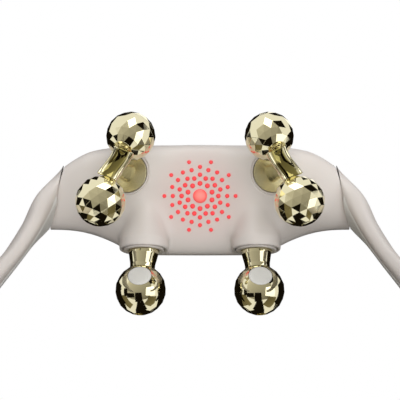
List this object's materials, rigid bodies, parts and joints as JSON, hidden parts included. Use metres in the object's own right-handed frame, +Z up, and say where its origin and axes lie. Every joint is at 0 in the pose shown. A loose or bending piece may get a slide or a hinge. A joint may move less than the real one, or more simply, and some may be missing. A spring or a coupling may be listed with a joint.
{
  "type": "neck and shoulder massager",
  "caption": "Worn neck and shoulder massager: pillow-shaped body with rotating twin-ball heads, lower single-ball heads, a red light field and two hinged shoulder arms.",
  "frame": {"origin": "centre of the face that meets the neck, at the middle of the red light field, where the wearer's neck holds the part", "axes": "+X across, towards the right-hand side of the picture; -Y out of the face towards the neck; +Z up"},
  "size_m": [0.2732, 0.2141, 0.1423],
  "materials": {
    "warm_white_shell": "fine moulded texture, warm off-white",
    "soft_arm_pad": "soft matte silicone skin, pale grey-white",
    "gold_plate": "mirror-bright pale champagne metal plating on a moulded core",
    "pale_contact_pad": "smooth satin pale grey",
    "red_light_lens": "translucent red, lit from behind",
    "motor_steel": "bright zinc-plated steel",
    "bush_bronze": "sintered bronze, satin",
    "gear_nylon": "natural nylon, moulded",
    "circuit_board": "green solder mask",
    "cradle_plastic": "dark grey moulding",
    "battery_wrap": "grey heat-shrink wrap"
  },
  "bodies": {
    "body": {"front_housing": "warm_white_shell", "back_cover": "warm_white_shell", "light_lens": "red_light_lens", "light_board": "circuit_board", "upper_motor": "motor_steel", "lower_motor": "motor_steel", "motor_cradle": "cradle_plastic", "battery": "battery_wrap", "control_board": "circuit_board", "charging_port": "motor_steel", "port_board": "circuit_board", "shell_screw_left_top": "motor_steel", "shell_screw_left_bottom": "motor_steel", "turntable_cup_left": "warm_white_shell", "turntable_bush_left": "bush_bronze", "lower_seat_left": "cradle_plastic", "lower_bush_left": "bush_bronze", "hinge_pin_left": "motor_steel", "shell_screw_right_top": "motor_steel", "shell_screw_right_bottom": "motor_steel", "turntable_cup_right": "warm_white_shell", "turntable_bush_right": "bush_bronze", "lower_seat_right": "cradle_plastic", "lower_bush_right": "bush_bronze", "hinge_pin_right": "motor_steel"},
    "upper_head_left": {"turntable_left": "gold_plate", "upper_wheel_left": "gear_nylon", "head_arm_left": "gold_plate"},
    "upper_ball_left_low": {"ball_left_low": "gold_plate", "ball_cap_left_low": "gold_plate"},
    "upper_ball_left_high": {"ball_left_high": "gold_plate", "ball_cap_left_high": "gold_plate"},
    "lower_head_left": {"collar_ring_left": "warm_white_shell", "lower_neck_left": "gold_plate", "lower_ball_left": "gold_plate", "contact_pad_left": "pale_contact_pad", "lower_wheel_left": "gear_nylon"},
    "arm_left": {"arm_shell_left": "warm_white_shell", "arm_pad_left": "soft_arm_pad"},
    "upper_head_right": {"turntable_right": "gold_plate", "upper_wheel_right": "gear_nylon", "head_arm_right": "gold_plate"},
    "upper_ball_right_low": {"ball_right_low": "gold_plate", "ball_cap_right_low": "gold_plate"},
    "upper_ball_right_high": {"ball_right_high": "gold_plate", "ball_cap_right_high": "gold_plate"},
    "lower_head_right": {"collar_ring_right": "warm_white_shell", "lower_neck_right": "gold_plate", "lower_ball_right": "gold_plate", "contact_pad_right": "pale_contact_pad", "lower_wheel_right": "gear_nylon"},
    "arm_right": {"arm_shell_right": "warm_white_shell", "arm_pad_right": "soft_arm_pad", "button_board": "circuit_board"},
    "upper_worm": {"upper_worm_shaft": "motor_steel"},
    "lower_worm": {"lower_worm_shaft": "motor_steel"},
    "power_key": {"power_button": "pale_contact_pad"},
    "mode_key": {"mode_button": "pale_contact_pad"},
    "heat_key": {"heat_button": "pale_contact_pad"}
  },
  "joints": [
    {"name": "arm_left_hinge", "type": "hinge", "parent": "body", "child": "arm_left", "pos_m": [-0.095, 0.0115, -0.00129], "axis": [-0.2241, 0, -0.9746], "range_deg": [0, 10]},
    {"name": "upper_head_left_spin", "type": "hinge", "parent": "body", "child": "upper_head_left", "pos_m": [-0.0535, 0, 0.0172], "axis": [-0.0697, -0.997, 0.0349], "continuous": true},
    {"name": "upper_ball_left_low_spin", "type": "hinge", "parent": "upper_head_left", "child": "upper_ball_left_low", "pos_m": [-0.04723, -0.03332, 0.04077], "axis": [0.2958, 0.7343, 0.611], "continuous": true},
    {"name": "upper_ball_left_high_spin", "type": "hinge", "parent": "upper_head_left", "child": "upper_ball_left_high", "pos_m": [-0.06563, -0.05043, -0.00344], "axis": [-0.3651, -0.2485, -0.8972], "continuous": true},
    {"name": "lower_head_left_spin", "type": "hinge", "parent": "body", "child": "lower_head_left", "pos_m": [-0.0406, -0.003, -0.0392], "axis": [0, -0.3107, -0.9505], "continuous": true},
    {"name": "arm_right_hinge", "type": "hinge", "parent": "body", "child": "arm_right", "pos_m": [0.095, 0.0115, -0.00129], "axis": [-0.2241, 0, 0.9746], "range_deg": [0, 10]},
    {"name": "upper_head_right_spin", "type": "hinge", "parent": "body", "child": "upper_head_right", "pos_m": [0.0535, 0, 0.0172], "axis": [0.0697, -0.997, 0.0349], "continuous": true},
    {"name": "upper_ball_right_low_spin", "type": "hinge", "parent": "upper_head_right", "child": "upper_ball_right_low", "pos_m": [0.04723, -0.03332, 0.04077], "axis": [-0.2958, 0.7343, 0.611], "continuous": true},
    {"name": "upper_ball_right_high_spin", "type": "hinge", "parent": "upper_head_right", "child": "upper_ball_right_high", "pos_m": [0.06563, -0.05043, -0.00344], "axis": [0.3651, -0.2485, -0.8972], "continuous": true},
    {"name": "lower_head_right_spin", "type": "hinge", "parent": "body", "child": "lower_head_right", "pos_m": [0.0406, -0.003, -0.0392], "axis": [0, -0.3107, -0.9505], "continuous": true},
    {"name": "upper_worm_spin", "type": "hinge", "parent": "body", "child": "upper_worm", "pos_m": [0, 0.0252, -0.00178], "axis": [1, 0, 0], "continuous": true},
    {"name": "lower_worm_spin", "type": "hinge", "parent": "body", "child": "lower_worm", "pos_m": [0, 0.0165, -0.02169], "axis": [1, 0, 0], "continuous": true},
    {"name": "power_key_press", "type": "slide", "parent": "arm_right", "child": "power_key", "axis": [-0.8044, 0.1298, -0.5798], "range_m": [0, 0.0008], "stiffness_N_per_m": 400, "springref_m": -0.0005},
    {"name": "mode_key_press", "type": "slide", "parent": "arm_right", "child": "mode_key", "axis": [-0.8182, 0.1337, -0.5591], "range_m": [0, 0.0008], "stiffness_N_per_m": 400, "springref_m": -0.0005},
    {"name": "heat_key_press", "type": "slide", "parent": "arm_right", "child": "heat_key", "axis": [-0.8346, 0.1435, -0.5319], "range_m": [0, 0.0008], "stiffness_N_per_m": 400, "springref_m": -0.0005}
  ],
  "couplings": [
    {"joint": "upper_head_right_spin", "follows": "upper_head_left_spin", "ratio": -1},
    {"joint": "upper_worm_spin", "follows": "upper_head_left_spin", "ratio": 6},
    {"joint": "lower_head_right_spin", "follows": "lower_head_left_spin", "ratio": -1},
    {"joint": "lower_worm_spin", "follows": "lower_head_left_spin", "ratio": 4}
  ]
}
